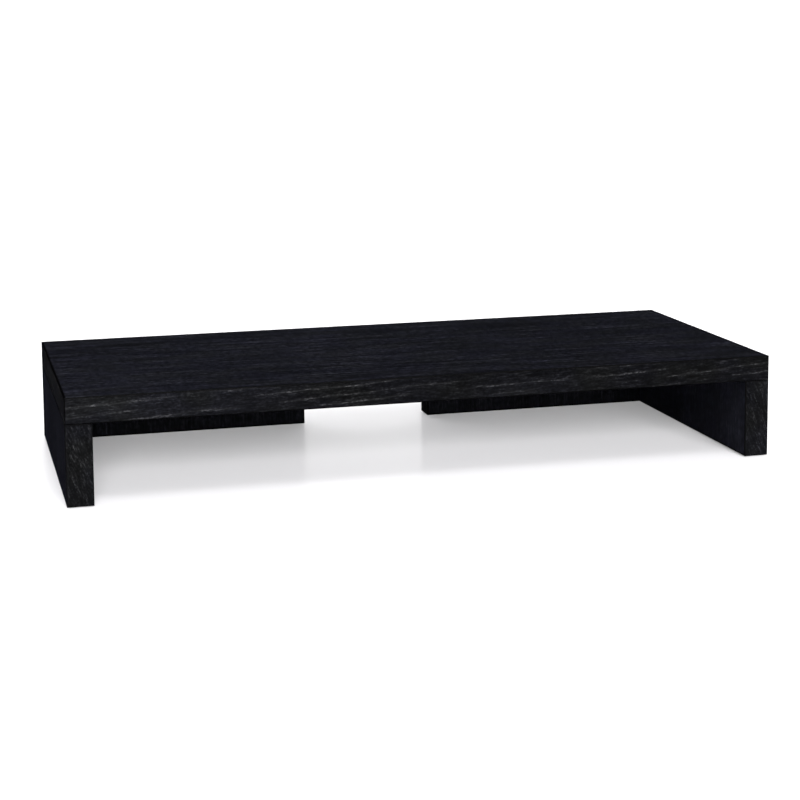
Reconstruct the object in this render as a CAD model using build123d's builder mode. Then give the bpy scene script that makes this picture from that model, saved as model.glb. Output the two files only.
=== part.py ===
"""A fixed monitor riser for a desk: a thick top board on two side panels, with two back panels that leave a
cable gap between them. All five are wood-grain chipboard boards with glued-on edge bands. The boards are
held together by hidden cam locks and dowels, and the riser stands on thin round pads.

Frame: X runs along the width, +Y points to the back, +Z points up. The origin is the centre of the footprint,
on the desk. All sizes are in millimetres.
"""

from build123d import *

import os
from math import cos, radians, sin

# ---- Driving dimensions ----------------------------------------------------------------------------------
WIDTH = 700.0
DEPTH = 300.0
HEIGHT = 103.0
BOARD = 25.0  # thickness of every board
CABLE_GAP = 140.0  # between the two back panels
BAND = 1.0  # thickness of the edge bands
BAND_ROUND = 0.8  # rounding along a band's outer edges
PAD = 1.0  # thickness of the foot pads

# ---- Places that follow from them ------------------------------------------------------------------------
TOP_UNDERSIDE = HEIGHT - BOARD
INNER_X = WIDTH / 2 - BOARD  # inner faces of the side panels
SIDE_X = WIDTH / 2 - BOARD / 2  # middle plane of a side panel
BACK_Y = DEPTH / 2 - BOARD / 2  # middle plane of the back panels
BACK_FRONT_Y = DEPTH / 2 - BOARD  # front faces of the back panels
BACK_END_X = CABLE_GAP / 2  # free ends of the back panels
CORE_BOTTOM = PAD + BAND  # lower edge of the upright boards' cores
CORE_HEIGHT = TOP_UNDERSIDE - CORE_BOTTOM

# ---- Connectors ------------------------------------------------------------------------------------------
GRID = 32.0  # hole spacing of cabinet drilling
FIRST_HOLE = 37.0  # from a board's end to its first connector

CAM_BORE_RADIUS = 7.5
CAM_BORE_DEPTH = 17.0
CAM_SETBACK = 24.0  # from the joint to the cam's axis
CAM_RADIUS = 7.3
CAM_RECESS = 0.3  # from the board's face down to the cam
CAM_LENGTH = 16.5
CAM_HOLLOW_RADIUS = 4.6  # room for the bolt's head
CAM_HOLLOW_LENGTH = 7.4
CAM_SLOT_WIDTH = 4.4  # room for the bolt's neck
CAM_SLOT_START = -30  # degrees about the cam's axis; the locked bolt is at 0
CAM_SLOT_END = 180
CAM_SLOT_STEP = 30
CAM_ENTRY_ANGLE = 160  # where the bolt's head goes in
CAM_ENTRY_RADIUS = 3.8
CAM_CHAMFER = 0.4
CROSS_LENGTH = 6.0  # screwdriver cross in the cam's face
CROSS_WIDTH = 1.5
CROSS_DEPTH = 4.0

BOLT_HOLE_RADIUS = 4.0  # in the edge of the board that holds the cam
PILOT_RADIUS = 3.1  # in the face of the board that the bolt screws into
PILOT_DEPTH = 13.0
BOLT_SHAFT_RADIUS = 3.5
BOLT_SHAFT_LENGTH = 16.0
BOLT_COLLAR_RADIUS = 3.9
BOLT_COLLAR_LENGTH = 1.2
BOLT_NECK_RADIUS = 1.9
BOLT_NECK_END = 19.7  # from the joint
BOLT_HEAD_RADIUS = 3.2
BOLT_HEAD_WIDEST = 21.4  # from the joint
BOLT_HEAD_END = 23.6  # from the joint
BOLT_HEAD_TIP_RADIUS = 1.6
THREAD_CORE_RADIUS = 2.1
THREAD_TIP_RADIUS = 3.0
THREAD_PITCH = 2.5
THREAD_START = 1.6  # from the joint to the middle of the first turn
THREAD_LENGTH = 8.4
THREAD_ROOT_WIDTH = 1.5
THREAD_TIP_WIDTH = 0.24
THREAD_OVERLAP = 0.15  # how far the ridge is rooted in the core
BOLT_POINT_RADIUS = 1.0
BOLT_CONE_START = 10.6
BOLT_POINT = 12.2

DOWEL_RADIUS = 4.0
DOWEL_HOLE_RADIUS = 4.05
DOWEL_LENGTH = 30.0
DOWEL_IN_FACE = 11.5  # length in the board that is drilled in its face
DOWEL_ROOM = 0.75  # glue room at each end of a dowel
DOWEL_CHAMFER = 1.0
FLUTES = 16
FLUTE_RADIUS = 0.35
FLUTE_CENTRE_RADIUS = 4.12

CAP_RADIUS = 8.5
CAP_THICKNESS = 1.2
CAP_ROUND = 0.5
CAP_PRONG_LENGTH = 5.8
CAP_PRONG_WIDTH = 1.3
CAP_PRONG_DEPTH = 3.0

PAD_RADIUS = 8.0
PAD_CHAMFER = 0.2
SIDE_PAD_Y = 130.0  # from the middle of the depth to each pad under a side panel
BACK_PAD_SETBACK = 15.0  # from a back panel's free end to its pad

# ---- Where the connectors are ----------------------------------------------------------------------------
# The side panels have their dowels in the front half and their cams in the back half, out of sight.
SIDE_DOWEL_Y = (FIRST_HOLE - DEPTH / 2, FIRST_HOLE - DEPTH / 2 + 2 * GRID)
SIDE_CAM_Y = (SIDE_DOWEL_Y[1] + 2 * GRID, SIDE_DOWEL_Y[1] + 4 * GRID)
BACK_CAM_X = (BACK_END_X + FIRST_HOLE, BACK_END_X + FIRST_HOLE + 5 * GRID)
BACK_DOWEL_X = (BACK_CAM_X[0] + GRID, BACK_CAM_X[1] - GRID)
END_CAM_Z = 27.0  # joint between a back panel and its side panel
END_DOWEL_Z = END_CAM_Z + GRID


# A connector's plane lies on the joint between its two boards. Its normal points into the board that is
# drilled in its face, and its X direction points to the face that the cam is turned from.
def upright_plane(x, y, cam_side):
    """A joint under the top board."""
    return Plane(origin=(x, y, TOP_UNDERSIDE), x_dir=cam_side, z_dir=(0, 0, 1))


def end_plane(side, z):
    """A joint between a back panel and the side panel on that side."""
    return Plane(origin=(side * INNER_X, BACK_Y, z), x_dir=(0, -1, 0), z_dir=(side, 0, 0))


def side_cam_planes(side):
    return [upright_plane(side * SIDE_X, y, (-side, 0, 0)) for y in SIDE_CAM_Y]


def side_dowel_planes(side):
    return [upright_plane(side * SIDE_X, y, (-side, 0, 0)) for y in SIDE_DOWEL_Y]


def back_cam_planes(side):
    return [upright_plane(side * x, BACK_Y, (0, -1, 0)) for x in BACK_CAM_X]


def back_dowel_planes(side):
    return [upright_plane(side * x, BACK_Y, (0, -1, 0)) for x in BACK_DOWEL_X]


def reversed_plane(plane):
    """The same joint, seen from the board that holds the cam."""
    return Plane(origin=plane.origin, x_dir=plane.x_dir, z_dir=-plane.z_dir)


def cam_mouth(plane):
    """The plane of a cam's bore: on the board's face, at the cam's axis, with its normal pointing out."""
    origin = plane.origin - plane.z_dir * CAM_SETBACK + plane.x_dir * (BOARD / 2)
    return Plane(origin=origin, x_dir=plane.z_dir, z_dir=plane.x_dir)


# ---- Drilling --------------------------------------------------------------------------------------------
def drill(planes, radius, depth):
    """Blind holes in the board being built, each against its plane's normal."""
    with Locations(*planes):
        Hole(radius, depth)


def drill_for_cams(planes):
    """The bolt's hole in the board's edge and the cam's bore in its face."""
    drill(planes, BOLT_HOLE_RADIUS, CAM_SETBACK)
    drill([cam_mouth(plane) for plane in planes], CAM_BORE_RADIUS, CAM_BORE_DEPTH)


def drill_for_bolts(planes):
    """Pilot holes in the face of the board that the bolts screw into."""
    drill([reversed_plane(plane) for plane in planes], PILOT_RADIUS, PILOT_DEPTH)


def drill_dowel_edges(planes):
    """Dowel holes in the edge of the board that stands against the other one's face."""
    drill(planes, DOWEL_HOLE_RADIUS, DOWEL_LENGTH - DOWEL_IN_FACE + DOWEL_ROOM)


def drill_dowel_faces(planes):
    drill([reversed_plane(plane) for plane in planes], DOWEL_HOLE_RADIUS, DOWEL_IN_FACE + DOWEL_ROOM)


# ---- Boards ----------------------------------------------------------------------------------------------
def top_board():
    with BuildPart() as board:
        with Locations((0, 0, TOP_UNDERSIDE)):
            Box(
                WIDTH - 2 * BAND,
                DEPTH - 2 * BAND,
                BOARD,
                align=(Align.CENTER, Align.CENTER, Align.MIN),
            )
        for side in (-1, 1):
            drill_for_bolts(side_cam_planes(side) + back_cam_planes(side))
            drill_dowel_faces(side_dowel_planes(side) + back_dowel_planes(side))
    return board.part


def side_board(side):
    with BuildPart() as board:
        with Locations((side * SIDE_X, 0, CORE_BOTTOM)):
            Box(
                BOARD,
                DEPTH - 2 * BAND,
                CORE_HEIGHT,
                align=(Align.CENTER, Align.CENTER, Align.MIN),
            )
        drill_for_cams(side_cam_planes(side))
        drill_dowel_edges(side_dowel_planes(side))
        drill_for_bolts([end_plane(side, END_CAM_Z)])
        drill_dowel_faces([end_plane(side, END_DOWEL_Z)])
    return board.part


def back_board(side):
    length = INNER_X - BACK_END_X - BAND
    with BuildPart() as board:
        with Locations((side * (INNER_X - length / 2), BACK_Y, CORE_BOTTOM)):
            Box(length, BOARD, CORE_HEIGHT, align=(Align.CENTER, Align.CENTER, Align.MIN))
        drill_for_cams(back_cam_planes(side) + [end_plane(side, END_CAM_Z)])
        drill_dowel_edges(back_dowel_planes(side) + [end_plane(side, END_DOWEL_Z)])
    return board.part


# ---- Edge bands ------------------------------------------------------------------------------------------
def band(face, length, width, rounded_ends=(True, True), rounded_rims=(True, True)):
    """A strip glued on a board's edge. The plane called face lies on that edge, its normal points out of the
    board and its X direction runs along the strip. The two ends and the two rims along the length are rounded
    where they are outside corners of the riser, and cut square where they meet another piece."""
    with BuildPart() as strip:
        with BuildSketch(face):
            Rectangle(length, width)
        extrude(amount=BAND)
        outer = strip.faces().sort_by(Axis(face.origin, face.z_dir))[-1]
        ends = outer.edges().sort_by(Axis(face.origin, face.x_dir))
        rims = outer.edges().sort_by(Axis(face.origin, face.y_dir))
        chosen = [e for e, use in zip((ends[0], ends[-1]), rounded_ends) if use]
        chosen += [e for e, use in zip((rims[0], rims[-1]), rounded_rims) if use]
        if chosen:
            fillet(chosen, BAND_ROUND)
    return strip.part


def top_bands():
    """The front and rear bands run over the ends of the two side ones."""
    middle = TOP_UNDERSIDE + BOARD / 2
    strips = {}
    for name, way in (("front", -1), ("rear", 1)):
        edge = Plane(origin=(0, way * (DEPTH / 2 - BAND), middle), x_dir=(1, 0, 0), z_dir=(0, way, 0))
        strips[f"top_{name}_band"] = band(edge, WIDTH, BOARD)
    for name, side in SIDES.items():
        edge = Plane(origin=(side * (WIDTH / 2 - BAND), 0, middle), x_dir=(0, 1, 0), z_dir=(side, 0, 0))
        strips[f"top_{name}_band"] = band(edge, DEPTH - 2 * BAND, BOARD, rounded_ends=(False, False))
    return strips


def side_bands(name, side):
    """The front and rear bands run down over the ends of the bottom one. Their upper ends are cut square."""
    height = TOP_UNDERSIDE - PAD
    strips = {}
    for place, way in (("front", -1), ("rear", 1)):
        edge = Plane(
            origin=(side * SIDE_X, way * (DEPTH / 2 - BAND), PAD + height / 2),
            x_dir=(0, 0, 1),
            z_dir=(0, way, 0),
        )
        strips[f"{name}_side_{place}_band"] = band(edge, height, BOARD, rounded_ends=(True, False))
    bottom = Plane(origin=(side * SIDE_X, 0, CORE_BOTTOM), x_dir=(0, 1, 0), z_dir=(0, 0, -1))
    strips[f"{name}_side_bottom_band"] = band(
        bottom, DEPTH - 2 * BAND, BOARD, rounded_ends=(False, False)
    )
    return strips


def back_bands(name, side):
    """The band on the free end, beside the cable gap, runs down over the end of the bottom one."""
    height = TOP_UNDERSIDE - PAD
    length = INNER_X - BACK_END_X - BAND
    end = Plane(
        origin=(side * (BACK_END_X + BAND), BACK_Y, PAD + height / 2), x_dir=(0, 0, 1), z_dir=(-side, 0, 0)
    )
    bottom = Plane(
        origin=(side * (INNER_X - length / 2), BACK_Y, CORE_BOTTOM), x_dir=(1, 0, 0), z_dir=(0, 0, -1)
    )
    return {
        f"{name}_back_end_band": band(end, height, BOARD, rounded_ends=(True, False)),
        f"{name}_back_bottom_band": band(bottom, length, BOARD, rounded_ends=(False, False)),
    }


# ---- One connector of each kind --------------------------------------------------------------------------
# They are made about a joint plane at the origin: the bolt's thread points up, the cam hangs below.
def cross_sketch(plane, length, width):
    with BuildSketch(plane) as cross:
        Rectangle(length, width)
        Rectangle(width, length)
    return cross.sketch


def cam_lock():
    """The cast eccentric that pulls on the bolt's head. It is turned to its locked position."""
    mouth = cam_mouth(Plane.XY)
    face = mouth.offset(-CAM_RECESS)
    hollow = mouth.offset(-BOARD / 2)  # the level of the bolt's axis
    entry = Plane(
        origin=hollow.origin,
        x_dir=hollow.z_dir,
        z_dir=hollow.x_dir.rotate(Axis((0, 0, 0), hollow.z_dir), CAM_ENTRY_ANGLE),
    )
    slot_reach = 2 * CAM_RADIUS
    slot_turns = [radians(turn) for turn in range(CAM_SLOT_START, CAM_SLOT_END + 1, CAM_SLOT_STEP)]
    with BuildPart() as cam:
        with BuildSketch(face):
            Circle(CAM_RADIUS)
        extrude(amount=-CAM_LENGTH)
        chamfer(cam.edges(), CAM_CHAMFER)
        with BuildSketch(hollow):
            Circle(CAM_HOLLOW_RADIUS)
        extrude(amount=CAM_HOLLOW_LENGTH / 2, both=True, mode=Mode.SUBTRACT)
        # The slot starts just beside the bolt's neck and ends at the hole where the head went in.
        with BuildSketch(hollow):
            with BuildLine():
                rim = [(slot_reach * cos(turn), slot_reach * sin(turn)) for turn in slot_turns]
                Polyline((0, 0), *rim, close=True)
            make_face()
        extrude(amount=CAM_SLOT_WIDTH / 2, both=True, mode=Mode.SUBTRACT)
        with BuildSketch(entry):
            Circle(CAM_ENTRY_RADIUS)
        extrude(amount=slot_reach, mode=Mode.SUBTRACT)
        extrude(cross_sketch(face, CROSS_LENGTH, CROSS_WIDTH), amount=-CROSS_DEPTH, mode=Mode.SUBTRACT)
    return cam.part


def cam_bolt():
    """The steel bolt: a coarse chipboard thread above the joint, then a collar, a shaft, a neck and a head."""
    ridge_radius = THREAD_CORE_RADIUS - THREAD_OVERLAP
    tooth_height = THREAD_TIP_RADIUS - ridge_radius
    with BuildPart() as bolt:
        with BuildLine(Plane.XY.offset(THREAD_START)) as path:
            Helix(pitch=THREAD_PITCH, height=THREAD_LENGTH, radius=ridge_radius)
        start = path.line @ 0
        with BuildSketch(Plane(origin=start, x_dir=(1, 0, 0), z_dir=path.line % 0)):
            with BuildLine():
                Polyline(
                    (0, -THREAD_ROOT_WIDTH / 2),
                    (tooth_height, -THREAD_TIP_WIDTH / 2),
                    (tooth_height, THREAD_TIP_WIDTH / 2),
                    (0, THREAD_ROOT_WIDTH / 2),
                    close=True,
                )
            make_face()
        sweep(path=path.line, is_frenet=True)
        with BuildSketch(Plane.XZ):
            with BuildLine():
                Polyline(
                    (0, BOLT_POINT),
                    (BOLT_POINT_RADIUS, BOLT_POINT),
                    (THREAD_CORE_RADIUS, BOLT_CONE_START),
                    (THREAD_CORE_RADIUS, 0),
                    (BOLT_COLLAR_RADIUS, 0),
                    (BOLT_COLLAR_RADIUS, -BOLT_COLLAR_LENGTH),
                    (BOLT_SHAFT_RADIUS, -BOLT_COLLAR_LENGTH),
                    (BOLT_SHAFT_RADIUS, -BOLT_SHAFT_LENGTH),
                    (BOLT_NECK_RADIUS, -BOLT_SHAFT_LENGTH),
                    (BOLT_NECK_RADIUS, -BOLT_NECK_END),
                    (BOLT_HEAD_RADIUS, -BOLT_HEAD_WIDEST),
                    (BOLT_HEAD_TIP_RADIUS, -BOLT_HEAD_END),
                    (0, -BOLT_HEAD_END),
                    close=True,
                )
            make_face()
        revolve(axis=Axis.Z)
    return bolt.part


def fluted_dowel():
    """A beech dowel with glue flutes along it, across the joint."""
    with BuildPart() as dowel:
        with Locations((0, 0, DOWEL_IN_FACE - DOWEL_LENGTH / 2)):
            Cylinder(DOWEL_RADIUS, DOWEL_LENGTH)
            chamfer(dowel.edges().filter_by(GeomType.CIRCLE), DOWEL_CHAMFER)
            with PolarLocations(FLUTE_CENTRE_RADIUS, FLUTES):
                Cylinder(FLUTE_RADIUS, DOWEL_LENGTH, mode=Mode.SUBTRACT)
    return dowel.part


def cam_cap():
    """The cover that is pressed over a cam: a thin disc with a cross-shaped prong in the cam's own cross."""
    face = cam_mouth(Plane.XY)
    with BuildPart() as cap:
        with BuildSketch(face):
            Circle(CAP_RADIUS)
        extrude(amount=CAP_THICKNESS)
        rim = cap.edges().filter_by(GeomType.CIRCLE).sort_by(Axis(face.origin, face.z_dir))[-1]
        fillet(rim, CAP_ROUND)
        extrude(cross_sketch(face, CAP_PRONG_LENGTH, CAP_PRONG_WIDTH), amount=-CAP_PRONG_DEPTH)
    return cap.part


def at_planes(piece, planes):
    """One node's copies of a connector."""
    with BuildPart() as group:
        with Locations(*planes):
            add(piece)
    return group.part


def foot_pads(centres):
    with BuildPart() as pads:
        with Locations(*[(x, y, 0) for x, y in centres]):
            Cylinder(PAD_RADIUS, PAD, align=(Align.CENTER, Align.CENTER, Align.MIN))
        chamfer(pads.edges().group_by(Axis.Z)[0], PAD_CHAMFER)
    return pads.part


# ---- The riser -------------------------------------------------------------------------------------------
SIDES = {"left": -1, "right": 1}


def riser():
    """Every node of the riser, by name."""
    cam, bolt, dowel, cap = cam_lock(), cam_bolt(), fluted_dowel(), cam_cap()
    nodes = {"top_panel": top_board(), **top_bands()}
    for name, side in SIDES.items():
        side_cams = side_cam_planes(side)
        back_cams = back_cam_planes(side) + [end_plane(side, END_CAM_Z)]
        back_dowels = back_dowel_planes(side) + [end_plane(side, END_DOWEL_Z)]
        nodes |= {
            f"{name}_side_panel": side_board(side),
            **side_bands(name, side),
            f"{name}_side_cams": at_planes(cam, side_cams),
            f"{name}_side_cam_bolts": at_planes(bolt, side_cams),
            f"{name}_side_cam_caps": at_planes(cap, side_cams),
            f"{name}_side_dowels": at_planes(dowel, side_dowel_planes(side)),
            f"{name}_side_pads": foot_pads([(side * SIDE_X, way * SIDE_PAD_Y) for way in (-1, 1)]),
            f"{name}_back_panel": back_board(side),
            **back_bands(name, side),
            f"{name}_back_cams": at_planes(cam, back_cams),
            f"{name}_back_cam_bolts": at_planes(bolt, back_cams),
            f"{name}_back_cam_caps": at_planes(cap, back_cams),
            f"{name}_back_dowels": at_planes(dowel, back_dowels),
            f"{name}_back_pad": foot_pads([(side * (BACK_END_X + BACK_PAD_SETBACK), BACK_Y)]),
        }
    return nodes


os.makedirs("parts", exist_ok=True)
for node, part in riser().items():
    part.label = node
    export_step(part, f"parts/{node}.step")
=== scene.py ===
"""Looks of the monitor riser: black wood-grain boards with brushed edge bands on a plain white floor.

Everything is in metres in the part's own frame: X along the width, +Y to the back, +Z up, with the origin at
the centre of the footprint. The riser's shape is all in the CAD nodes, which keep their meshes; this file
gives them their materials and sets up the floor, the lights and the camera.
"""

from math import radians

import bpy
from mathutils import Matrix, Vector


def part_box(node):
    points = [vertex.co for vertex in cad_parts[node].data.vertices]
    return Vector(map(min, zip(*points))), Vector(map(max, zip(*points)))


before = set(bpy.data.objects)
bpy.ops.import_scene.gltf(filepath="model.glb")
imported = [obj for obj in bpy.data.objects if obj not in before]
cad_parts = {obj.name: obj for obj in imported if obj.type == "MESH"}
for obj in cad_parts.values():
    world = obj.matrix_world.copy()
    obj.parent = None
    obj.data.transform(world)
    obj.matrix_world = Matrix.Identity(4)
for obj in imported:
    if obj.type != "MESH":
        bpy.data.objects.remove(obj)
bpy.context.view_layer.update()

SIDES = ("left", "right")

# ---- Camera ----------------------------------------------------------------------------------------------
CAMERA_PLACE = (-0.4671, -1.7729, 0.4436)
CAMERA_YAW = 14.96  # degrees to the right of +Y
CAMERA_PITCH = 7.072  # degrees below level
CAMERA_ROLL = -0.427  # degrees
CAMERA_SENSOR = 36  # millimetres wide
CAMERA_LENS = 80.84  # millimetres
CAMERA_SHIFT = -0.2  # keeps the upright edges nearly parallel


def make_camera():
    data = bpy.data.cameras.new("camera")
    data.sensor_width = CAMERA_SENSOR
    data.lens = CAMERA_LENS
    data.shift_y = CAMERA_SHIFT
    camera = bpy.data.objects.new("camera", data)
    bpy.context.scene.collection.objects.link(camera)
    turn = (
        Matrix.Rotation(-radians(CAMERA_YAW), 4, "Z")
        @ Matrix.Rotation(radians(90 - CAMERA_PITCH), 4, "X")
        @ Matrix.Rotation(radians(CAMERA_ROLL), 4, "Z")
    )
    camera.matrix_world = Matrix.Translation(CAMERA_PLACE) @ turn
    bpy.context.scene.camera = camera
    bpy.context.scene.view_settings.view_transform = "Standard"


# ---- Node helpers ----------------------------------------------------------------------------------------
def add(tree, kind, inputs=None, **settings):
    """A new node's outputs. Each input is linked if it is given a socket, and set if it is given a value."""
    made = tree.nodes.new(kind)
    for key, value in settings.items():
        setattr(made, key, value)
    for key, value in (inputs or {}).items():
        if isinstance(value, bpy.types.NodeSocket):
            tree.links.new(value, made.inputs[key])
        else:
            made.inputs[key].default_value = value
    return made.outputs


def calc(tree, operation, *values):
    """The result of a Math node."""
    inputs = dict(enumerate(values))
    return add(tree, "ShaderNodeMath", inputs, operation=operation)[0]


def noise(tree, vector, stretch, detail=2.0, roughness=0.55):
    """Noise from 0 to 1. The stretch is its number of cells per metre along each axis."""
    scaled = add(tree, "ShaderNodeVectorMath", {0: vector, 1: stretch}, operation="MULTIPLY")[0]
    inputs = {"Vector": scaled, "Scale": 1.0, "Detail": detail, "Roughness": roughness}
    return add(tree, "ShaderNodeTexNoise", inputs)[0]


def ramp(tree, value, low, high, to_low=0.0, to_high=1.0):
    """The value's smooth passage from low to high, as one from to_low to to_high."""
    inputs = {"Value": value, "From Min": low, "From Max": high, "To Min": to_low, "To Max": to_high}
    return add(tree, "ShaderNodeMapRange", inputs, interpolation_type="SMOOTHSTEP")[0]


def linear(tree, value, low, high, to_low, to_high):
    """The value, rescaled and not clamped."""
    inputs = {"Value": value, "From Min": low, "From Max": high, "To Min": to_low, "To Max": to_high}
    return add(tree, "ShaderNodeMapRange", inputs, clamp=False)[0]


def new_material(name, **constants):
    """A material with one Principled shader, whose constant values are set on its own sockets."""
    material = bpy.data.materials.new(name)
    material.use_nodes = True
    tree = material.node_tree
    shader = tree.nodes["Principled BSDF"]
    for key, value in constants.items():
        shader.inputs[key.replace("_", " ")].default_value = value
    return material, tree, shader


def dress(node_name, material):
    """Gives a CAD node its material."""
    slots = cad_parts[node_name].data.materials
    slots.clear()
    slots.append(material)


# ---- Wood grain ------------------------------------------------------------------------------------------
GRAIN_INPUTS = (
    ("Vector", "NodeSocketVector"),
    ("Base", "NodeSocketColor"),
    ("Cool Base", "NodeSocketColor"),
    ("Streak", "NodeSocketColor"),
    ("Fibre Fineness", "NodeSocketVector"),
    ("Grain Fineness", "NodeSocketVector"),
    ("Track Gap", "NodeSocketFloat"),
    ("Tracks", "NodeSocketFloat"),
    ("Ticks", "NodeSocketFloat"),
    ("Contrast", "NodeSocketFloat"),
    ("Mottling", "NodeSocketFloat"),
)
GRAIN_OUTPUTS = (
    ("Color", "NodeSocketColor"),
    ("Light", "NodeSocketFloat"),
    ("Height", "NodeSocketFloat"),
)

# Cells per metre of each layer of the print: along the grain, and twice across it.
DRIFT_CELLS = (3, 6, 6)
WOBBLE_CELLS = (24, 45, 45)
SHOWN_CELLS = (17, 118, 118)
FIBRE_CELLS = (90, 1150, 1150)
GRAIN_CELLS = (330, 800, 800)
MOTTLE_CELLS = (14, 90, 90)
BROAD_CELLS = (4, 30, 30)
TINT_CELLS = (22, 34, 34)
DRIFT = 0.007  # how far the growth lines wander to each side, in metres
WOBBLE = 0.0018  # how far they waver on the way
TRACK_SHARPNESS = 7.0


def make_grain_group():
    """A brushed wood-grain print. Its vector is in metres: along the grain in X, and across it in Y and Z."""
    tree = bpy.data.node_groups.new("wood_grain", "ShaderNodeTree")
    for name, kind in GRAIN_INPUTS:
        tree.interface.new_socket(name, in_out="INPUT", socket_type=kind)
    for name, kind in GRAIN_OUTPUTS:
        tree.interface.new_socket(name, in_out="OUTPUT", socket_type=kind)
    given = tree.nodes.new("NodeGroupInput").outputs
    result = tree.nodes.new("NodeGroupOutput").inputs
    place = given["Vector"]
    fibre_scale = {0: place, 1: given["Fibre Fineness"]}
    fibre_place = add(tree, "ShaderNodeVectorMath", fibre_scale, operation="MULTIPLY")[0]
    grain_scale = {0: place, 1: given["Grain Fineness"]}
    grain_place = add(tree, "ShaderNodeVectorMath", grain_scale, operation="MULTIPLY")[0]
    split = add(tree, "ShaderNodeSeparateXYZ", {0: place})

    # Growth lines run in tracks that wander slowly. Each track shows only over parts of its length.
    drift = linear(tree, noise(tree, place, DRIFT_CELLS, 1), 0, 1, -DRIFT, DRIFT)
    wobble = linear(tree, noise(tree, place, WOBBLE_CELLS, 1), 0, 1, -WOBBLE, WOBBLE)
    across = calc(tree, "ADD", calc(tree, "ADD", split[1], split[2]), calc(tree, "ADD", drift, wobble))
    phase = calc(tree, "FRACT", calc(tree, "DIVIDE", across, given["Track Gap"]))
    off_centre = calc(tree, "ABSOLUTE", calc(tree, "SUBTRACT", calc(tree, "MULTIPLY", phase, 2.0), 1.0))
    track = calc(tree, "POWER", calc(tree, "SUBTRACT", 1.0, off_centre), TRACK_SHARPNESS)
    shown = ramp(tree, noise(tree, place, SHOWN_CELLS, 1), 0.43, 0.58)

    # Fibres are thin and long, and grains break them up. Where both are strong, there is a light dash.
    fibres = noise(tree, fibre_place, FIBRE_CELLS, 2)
    grains = noise(tree, grain_place, GRAIN_CELLS, 1)
    dashes = calc(tree, "MULTIPLY", ramp(tree, fibres, 0.46, 0.70), ramp(tree, grains, 0.34, 0.66))
    dashed = linear(tree, dashes, 0, 1, 0.2, 1.6)
    in_track = calc(tree, "MULTIPLY", calc(tree, "MULTIPLY", track, shown), dashed)
    loose = calc(tree, "MULTIPLY", dashes, linear(tree, shown, 0, 1, 0.5, 1.0))
    track_light = calc(tree, "MULTIPLY", in_track, given["Tracks"])
    tick_light = calc(tree, "MULTIPLY", loose, given["Ticks"])
    light = calc(tree, "ADD", track_light, tick_light)

    # The dark ground is uneven with the same fibres and grains, and with larger patches.
    mottle = noise(tree, place, MOTTLE_CELLS, 2)
    broad = noise(tree, place, BROAD_CELLS, 1)
    centred = calc(tree, "SUBTRACT", calc(tree, "ADD", mottle, broad), 1.0)
    patches = calc(tree, "MULTIPLY", centred, given["Mottling"])
    uneven = calc(tree, "ADD", calc(tree, "SUBTRACT", calc(tree, "ADD", fibres, grains), 1.0), patches)
    shade = calc(tree, "EXPONENT", calc(tree, "MULTIPLY", uneven, given["Contrast"]))
    tint = ramp(tree, noise(tree, place, TINT_CELLS, 1), 0.35, 0.65)
    tinted = {"Factor": tint, "A": given["Base"], "B": given["Cool Base"]}
    base = add(tree, "ShaderNodeMix", tinted, data_type="RGBA")["Result"]
    ground = add(tree, "ShaderNodeVectorMath", {0: base, "Scale": shade}, operation="SCALE")[0]
    glow = add(tree, "ShaderNodeVectorMath", {0: given["Streak"], "Scale": light}, operation="SCALE")[0]
    color = add(tree, "ShaderNodeVectorMath", {0: ground, 1: glow}, operation="ADD")[0]
    tree.links.new(color, result["Color"])
    tree.links.new(light, result["Light"])
    tree.links.new(calc(tree, "SUBTRACT", fibres, dashes), result["Height"])
    return tree


# Euler angles, in degrees, that turn the part's frame so that X runs along the grain.
GRAIN_TURNS = {
    "X": (0, 0, 0),
    "Y": (0, 0, -90),
    "Z": (0, 90, 0),
}


def in_radians(x, y, z):
    return radians(x), radians(y), radians(z)


# Edge lines are partly dark joints and partly painted shade on the rounded edges and in the grooves between
# boards.
EDGE_CORE = 0.35  # the part of an edge line's width that is fully dark
PATTERN_STEP = (0.37, 0.23, 0.11)  # metres between the places in the print of two pieces


def edge_joint_and_shade_mask(tree, place, node, width):
    """1 along the outline of each face of a box-shaped node, fading to 0 at this width from it. This is where
    the edge lines go: dark joints with painted shade on the rounded edges.
    """
    low, high = (Vector(corner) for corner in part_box(node))
    from_middle = add(tree, "ShaderNodeVectorMath", {0: place, 1: (low + high) / 2}, operation="SUBTRACT")[0]
    folded = add(tree, "ShaderNodeVectorMath", {0: from_middle}, operation="ABSOLUTE")[0]
    outside = add(tree, "ShaderNodeVectorMath", {0: folded, 1: (high - low) / 2}, operation="SUBTRACT")[0]
    x, y, z = add(tree, "ShaderNodeSeparateXYZ", {0: outside})
    # On a face, the largest of the three is 0, and the middle one is minus the distance to the outline.
    smaller = calc(tree, "MINIMUM", x, y)
    larger = calc(tree, "MAXIMUM", x, y)
    middle = calc(tree, "MAXIMUM", smaller, calc(tree, "MINIMUM", larger, z))
    return ramp(tree, middle, -width, -EDGE_CORE * width)


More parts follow.
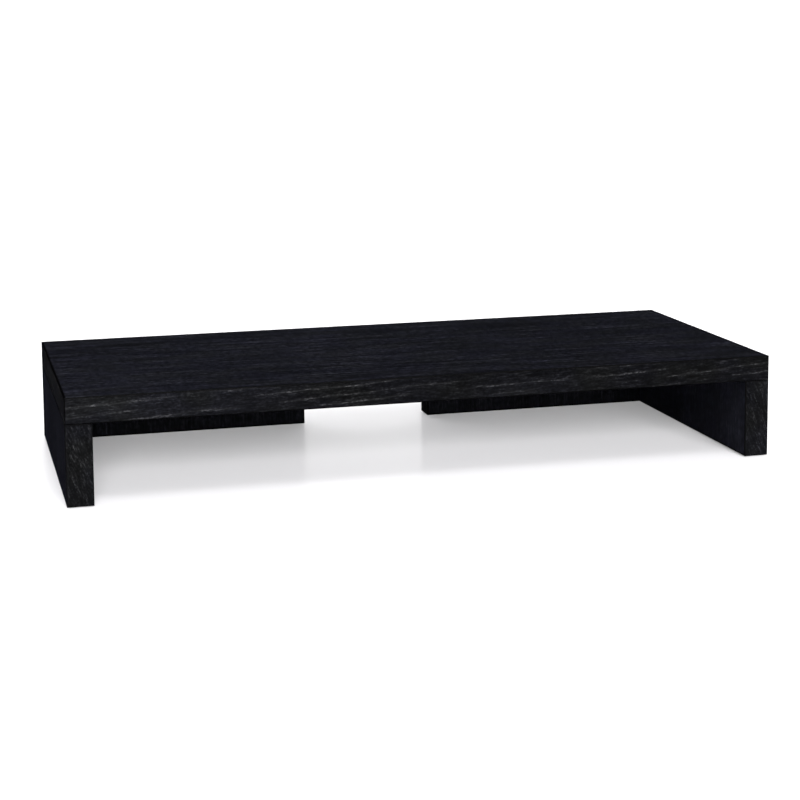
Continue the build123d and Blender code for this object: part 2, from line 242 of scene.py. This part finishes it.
def wood_material(node, group, grain, seed, look):
    """Black wood-grain print with dark edge lines, partly dark joints and partly painted shade on the rounded
    edges and in the grooves between boards. The lean tilts the grain in an upright plane.
    """
    material, tree, shader = new_material(f"{node}_wood", Specular_IOR_Level=look["specular"])
    place = add(tree, "ShaderNodeTexCoord")
    turn = {"Vector": place["Object"], "Rotation": in_radians(*GRAIN_TURNS[grain])}
    turned = add(tree, "ShaderNodeMapping", turn)[0]
    shift = tuple(seed * step for step in PATTERN_STEP)
    lean = {"Vector": turned, "Rotation": in_radians(0, look["lean"], 0), "Location": shift}
    leaned = add(tree, "ShaderNodeMapping", lean)[0]
    inputs = {
        "Vector": leaned,
        "Base": (*look["base"], 1),
        "Cool Base": (*look["cool"], 1),
        "Streak": (*look["streak"], 1),
        "Fibre Fineness": look["fibres"],
        "Grain Fineness": look["grains"],
        "Track Gap": look["track_gap"],
        "Tracks": look["tracks"],
        "Ticks": look["ticks"],
        "Contrast": look["contrast"],
        "Mottling": look["mottling"],
    }
    grained = add(tree, "ShaderNodeGroup", inputs, node_tree=group)
    # The edge colour: dark joint lines with painted shade on the rounded edges.
    edge = edge_joint_and_shade_mask(tree, place["Object"], node, look["edge_width"])
    edging = {"Factor": edge, "A": grained["Color"], "B": (*look["edge"], 1)}
    edged = add(tree, "ShaderNodeMix", edging, data_type="RGBA")["Result"]
    tree.links.new(edged, shader.inputs["Base Color"])
    tree.links.new(linear(tree, grained["Light"], 0, 1, *look["roughness"]), shader.inputs["Roughness"])
    relief = {"Height": grained["Height"], "Distance": look["relief"], "Strength": 1.0}
    tree.links.new(add(tree, "ShaderNodeBump", relief)[0], shader.inputs["Normal"])
    return material


# Colours are linear, lengths are in metres, and the fineness of fibres and grains multiplies their cells.
# Each edge colour is a dark joint line with painted shade on the rounded edges.
# The top panel's ground colour is lighter than that of the side and back panels, which are the same board:
# painted sheen on the top.
TOP_LOOK_WITH_PAINTED_SHEEN = {
    "base": (0.0133, 0.0140, 0.0192),
    "cool": (0.0128, 0.0134, 0.0216),
    "streak": (0.10, 0.10, 0.115),
    "edge": (0.0015, 0.0015, 0.002),
    "edge_width": 0.0014,
    "fibres": (0.11, 0.23, 0.23),
    "grains": (0.75, 0.42, 0.42),
    "track_gap": 0.0085,
    "tracks": 0.14,
    "ticks": 0.14,
    "contrast": 2.4,
    "mottling": 0.2,
    "lean": 0,
    "roughness": (0.5, 0.65),
    "relief": 0.00012,
    "specular": 0.2,
}
# The side and back panels' ground colour is darker and bluer than the top's, though the board is the same:
# painted shade on the upright panels.
PANEL_LOOK_WITH_PAINTED_SHADE = {
    **TOP_LOOK_WITH_PAINTED_SHEEN,
    "base": (0.0087, 0.0091, 0.0138),
    "cool": (0.0083, 0.0087, 0.0149),
    "fibres": (0.5, 0.5, 0.5),
    "grains": (0.5, 0.5, 0.5),
    "relief": 0.0001,
    "tracks": 0.05,
    "ticks": 0.08,
    "contrast": 2.1,
    "mottling": 0.5,
}
BAND_LOOK = {
    "base": (0.0069, 0.0074, 0.0081),
    "cool": (0.0058, 0.0062, 0.0093),
    "streak": (0.122, 0.122, 0.127),
    "edge": (0.0015, 0.0015, 0.002),
    "edge_width": 0.0014,
    "fibres": (1.0, 0.75, 0.75),
    "grains": (1.0, 0.75, 0.75),
    "track_gap": 0.0085,
    "tracks": 0.68,
    "ticks": 0.12,
    "contrast": 2.1,
    "mottling": 0.6,
    "lean": 3,
    "roughness": (0.5, 0.7),
    "relief": 0.0001,
    "specular": 0.2,
}
LEG_BAND_LOOK = {
    **BAND_LOOK,
    # The leg bands' edge lines are fainter: less painted shade on their rounded edges.
    "edge": (0.005, 0.005, 0.006),
    "fibres": (1.8, 0.8, 0.8),
    "grains": (1.8, 0.8, 0.8),
    "track_gap": 0.0045,
    "tracks": 0.2,
    "ticks": 0.2,
    "lean": 22,
}


FIRST_SEED = 6  # chooses the pattern of each board and band


def dress_boards():
    group = make_grain_group()
    pieces = [("top_panel", "X", TOP_LOOK_WITH_PAINTED_SHEEN)]
    pieces += [(f"top_{end}_band", "X", BAND_LOOK) for end in ("front", "rear")]
    pieces += [(f"top_{side}_band", "Y", BAND_LOOK) for side in SIDES]
    for side in SIDES:
        pieces += [
            (f"{side}_side_panel", "Z", PANEL_LOOK_WITH_PAINTED_SHADE),
            (f"{side}_side_front_band", "Z", LEG_BAND_LOOK),
            (f"{side}_side_rear_band", "Z", LEG_BAND_LOOK),
            (f"{side}_side_bottom_band", "Y", BAND_LOOK),
            (f"{side}_back_panel", "Z", PANEL_LOOK_WITH_PAINTED_SHADE),
            (f"{side}_back_end_band", "Z", LEG_BAND_LOOK),
            (f"{side}_back_bottom_band", "X", BAND_LOOK),
        ]
    for seed, (node, grain, look) in enumerate(pieces, FIRST_SEED):
        dress(node, wood_material(node, group, grain, seed, look))


# ---- Fittings --------------------------------------------------------------------------------------------
COARSENESS = 9  # how much larger the coarse speckles are than the fine ones


def speckled(name, color, low, high, roughness, grain_size, relief, **constants):
    """A cast or moulded surface: fine speckle in its tone and a matching relief."""
    material, tree, shader = new_material(name, **constants)
    place = add(tree, "ShaderNodeTexCoord")["Object"]
    coarse = noise(tree, place, (1 / (COARSENESS * grain_size),) * 3, 2)
    fine = noise(tree, place, (1 / grain_size,) * 3, 3)
    tone = linear(tree, calc(tree, "ADD", coarse, fine), 0.6, 1.4, low, high)
    scaled = add(tree, "ShaderNodeVectorMath", {0: color, "Scale": tone}, operation="SCALE")[0]
    tree.links.new(scaled, shader.inputs["Base Color"])
    tree.links.new(linear(tree, coarse, 0.3, 0.7, *roughness), shader.inputs["Roughness"])
    bump = add(tree, "ShaderNodeBump", {"Height": fine, "Distance": relief})[0]
    tree.links.new(bump, shader.inputs["Normal"])
    return material


def dress_fittings():
    cap = speckled("cap_plastic", (0.012, 0.012, 0.014), 0.8, 1.2, (0.42, 0.55), 0.0004, 0.00003)
    pad = speckled("pad_rubber", (0.02, 0.02, 0.02), 0.7, 1.3, (0.8, 0.95), 0.0007, 0.0001)
    zinc = speckled("cast_zinc", (0.42, 0.43, 0.44), 0.8, 1.15, (0.45, 0.6), 0.0006, 0.00004, Metallic=1.0)
    steel = speckled("plated_steel", (0.55, 0.55, 0.57), 0.9, 1.1, (0.28, 0.4), 0.0008, 0.00001, Metallic=1.0)
    beech = speckled("beech", (0.55, 0.38, 0.22), 0.75, 1.2, (0.6, 0.75), 0.001, 0.00005)
    for side in SIDES:
        for board in ("side", "back"):
            dress(f"{side}_{board}_cams", zinc)
            dress(f"{side}_{board}_cam_bolts", steel)
            dress(f"{side}_{board}_cam_caps", cap)
            dress(f"{side}_{board}_dowels", beech)
        dress(f"{side}_side_pads", pad)
        dress(f"{side}_back_pad", pad)


# ---- Floor and light -------------------------------------------------------------------------------------
FLOOR_SIZE = 60.0  # metres
GLOW_NEAR = 0.2  # the floor's own glow under and beside the riser
GLOW_FAR = 1.3  # and far from it, where it merges with the white background
GLOW_RADII = (0.8, 1.8)  # metres from the riser's centre, between which the glow grows
DOME = 0.5  # strength of the dome's light
BACKDROP = 1.2  # and of the white that the camera sees


def make_floor():
    half = FLOOR_SIZE / 2
    corners = [(-half, -half, 0), (half, -half, 0), (half, half, 0), (-half, half, 0)]
    mesh = bpy.data.meshes.new("floor")
    mesh.from_pydata(corners, [], [(0, 1, 2, 3)])
    floor = bpy.data.objects.new("floor", mesh)
    bpy.context.scene.collection.objects.link(floor)
    material, tree, shader = new_material(
        "floor_white",
        Base_Color=(0.8, 0.792, 0.812, 1),
        Roughness=0.16,
        Specular_IOR_Level=0.35,
        Emission_Color=(1, 1, 1, 1),
    )
    place = add(tree, "ShaderNodeTexCoord")["Object"]
    distance = add(tree, "ShaderNodeVectorMath", {0: place}, operation="LENGTH")["Value"]
    tree.links.new(ramp(tree, distance, *GLOW_RADII, GLOW_NEAR, GLOW_FAR), shader.inputs["Emission Strength"])
    mesh.materials.append(material)
    floor.visible_glossy = False
    return floor


def make_world():
    """A soft dome that nothing mirrors, and plain white where the camera sees past the floor's far edge."""
    world = bpy.data.worlds.new("studio")
    world.use_nodes = True
    bpy.context.scene.world = world
    tree = world.node_tree
    tree.nodes.clear()
    seen = add(tree, "ShaderNodeLightPath")["Is Camera Ray"]
    strength = linear(tree, seen, 0, 1, DOME, BACKDROP)
    world.cycles_visibility.glossy = False
    background = add(tree, "ShaderNodeBackground", {"Color": (1, 1, 1, 1), "Strength": strength})[0]
    add(tree, "ShaderNodeOutputWorld", {"Surface": background})


def make_area(name, place, target, size, power, receivers, reflected=False):
    """A rectangular card that shines towards the target. Only a reflected light is seen in gloss."""
    data = bpy.data.lights.new(name, "AREA")
    data.shape = "RECTANGLE"
    data.size, data.size_y = size
    data.energy = power
    light = bpy.data.objects.new(name, data)
    light.location = place
    light.rotation_euler = (Vector(target) - Vector(place)).to_track_quat("-Z", "Y").to_euler()
    bpy.context.scene.collection.objects.link(light)
    light.visible_glossy = reflected
    only_on(light, receivers)


def make_sun(name, azimuth, elevation, spread, strength, receivers, reflected=False):
    """A soft distant light. Its azimuth runs from the front to the right, and all angles are in degrees."""
    data = bpy.data.lights.new(name, "SUN")
    data.energy = strength
    data.angle = radians(spread)
    light = bpy.data.objects.new(name, data)
    light.rotation_euler = (radians(90 - elevation), 0, radians(azimuth))
    bpy.context.scene.collection.objects.link(light)
    light.visible_glossy = reflected
    only_on(light, receivers)


def only_on(light, receivers):
    """The light falls on these objects alone, or on everything if there are none."""
    if not receivers:
        return
    group = bpy.data.collections.new(f"{light.name}_receivers")
    for receiver in receivers:
        group.objects.link(receiver)
    light.light_linking.receiver_collection = group


def make_lights(floor):
    boards = list(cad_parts.values())
    make_sun("key", azimuth=5, elevation=68, spread=22, strength=1.15, receivers=[], reflected=True)
    make_area(
        "board_card",
        place=(-1.6, -0.85, 0.7),
        target=(-0.2, 0, 0.05),
        size=(0.6, 0.6),
        power=13.2,
        receivers=boards,
    )
    make_sun("floor_front", azimuth=0, elevation=15.5, spread=34, strength=8.7, receivers=[floor])
    make_sun("floor_rear", azimuth=180, elevation=24, spread=75, strength=3.0, receivers=[floor])
    make_area(
        "floor_card",
        place=(0.6, 2.4, 0.42),
        target=(0, 0, 0.2),
        size=(4.0, 0.4),
        power=4.6,
        receivers=[floor],
        reflected=True,
    )


make_camera()
make_world()
floor = make_floor()
make_lights(floor)
dress_boards()
dress_fittings()
